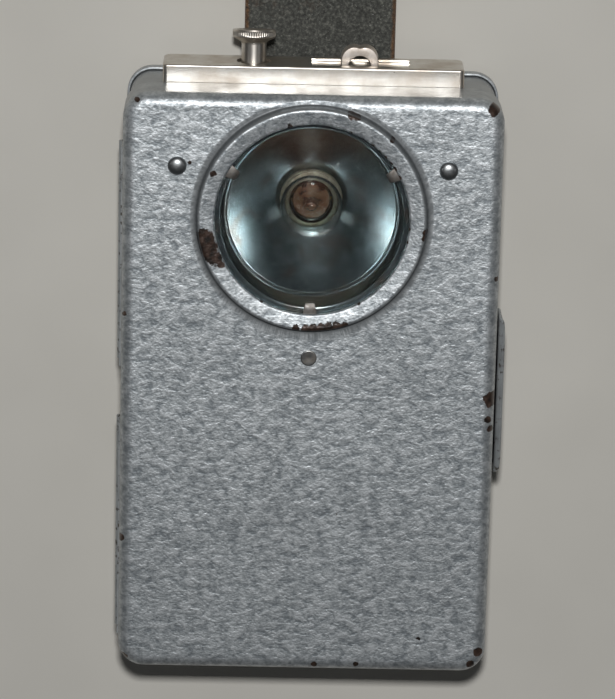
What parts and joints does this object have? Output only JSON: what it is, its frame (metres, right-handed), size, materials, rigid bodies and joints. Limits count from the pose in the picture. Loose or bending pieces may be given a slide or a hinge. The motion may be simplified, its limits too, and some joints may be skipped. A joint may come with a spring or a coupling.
{
  "type": "pocket torch",
  "caption": "Flat hammertone pocket torch with a round reflector window, hinged front cover, switch cap with push button and slide, side latch and leather button tab.",
  "frame": {"origin": "on the underside of the leather at the back of the case, below the middle of the case, with the torch lying on its back", "axes": "+X to the latch side, +Y to the switch end, +Z out of the front through the window"},
  "size_m": [0.0729, 0.1538, 0.0307],
  "materials": {
    "hammertone_paint": "satin hammertone enamel",
    "dark_paint": "satin enamel",
    "nickel_plate": "worn nickel plate",
    "steel": "plain sheet steel",
    "brass": "plain brass",
    "mirror": "silvered bowl",
    "glass": "clear",
    "bulb_bead": "coloured glass bead with wires",
    "fibre": "vulcanised fibre",
    "black_glass": "black glass",
    "card": "pressed card",
    "zinc": "zinc cans",
    "pitch": "poured pitch",
    "leather": "worn dark leather with brown edges"
  },
  "bodies": {
    "case": {"back_plate": "hammertone_paint", "body_band": "hammertone_paint", "liner_card": "card", "body_hinge_leaf": "dark_paint", "hinge_pins": "steel", "switch_cap": "nickel_plate", "contact_board": "fibre", "slide_bed": "fibre", "leaf_post": "brass", "contact_strip": "brass", "strip_rivet": "steel", "button_spring": "steel", "battery_sleeve": "card", "battery_cells": "zinc", "battery_seal": "pitch", "battery_long_strip": "brass", "battery_short_strip": "brass", "bulb_contact": "brass", "latch_foot": "dark_paint", "latch_rivets": "steel", "strap_back": "leather", "strap_rivets": "steel"},
    "cover": {"front_cover": "hammertone_paint", "cover_hinge_leaf": "dark_paint", "reflector_carrier": "steel", "dome_rivets": "steel", "flat_rivet": "steel", "lens_glass": "glass", "glass_retainer": "steel", "reflector": "mirror", "bulb_globe": "glass", "bulb_mount": "bulb_bead", "bulb_base": "brass", "bulb_insulator": "black_glass", "bulb_tip": "brass", "bulb_socket": "brass"},
    "button": {"push_button": "nickel_plate"},
    "leaf": {"contact_leaf": "brass"},
    "slide": {"slide_plate": "steel", "slide_tab": "nickel_plate", "slide_lug": "fibre"},
    "latch": {"latch_arm": "dark_paint"},
    "tab": {"strap_end": "leather"}
  },
  "joints": [
    {"name": "cover_hinge", "type": "hinge", "parent": "case", "child": "cover", "pos_m": [-0.0352, 0, 0.0185], "axis": [0, -1, 0], "range_deg": [0, 110]},
    {"name": "button_press", "type": "slide", "parent": "case", "child": "button", "axis": [0, -1, 0], "range_m": [0, 0.0016], "stiffness_N_per_m": 400, "springref_m": -0.0008, "deforming": ["button_spring"]},
    {"name": "leaf_bend", "type": "hinge", "parent": "case", "child": "leaf", "pos_m": [-0.002, 0.05235, 0.0134], "axis": [0, 0, 1], "range_deg": [0, 11]},
    {"name": "switch_slide", "type": "slide", "parent": "case", "child": "slide", "axis": [1, 0, 0], "range_m": [-0.005, 0.005]},
    {"name": "latch_flex", "type": "hinge", "parent": "case", "child": "latch", "pos_m": [0.03465, -0.00175, 0.01205], "axis": [0, 1, 0], "range_deg": [0, 6], "stiffness_Nm_per_rad": 0.5, "springref_deg": -1.15},
    {"name": "tab_fold", "type": "hinge", "parent": "case", "child": "tab", "pos_m": [0.0011, 0.0601, 0.0011], "axis": [1, 0, 0], "range_deg": [-90, 40]}
  ],
  "couplings": [
    {"joint": "leaf_bend", "follows": "button_press", "rad_per_m": 107.53}
  ]
}
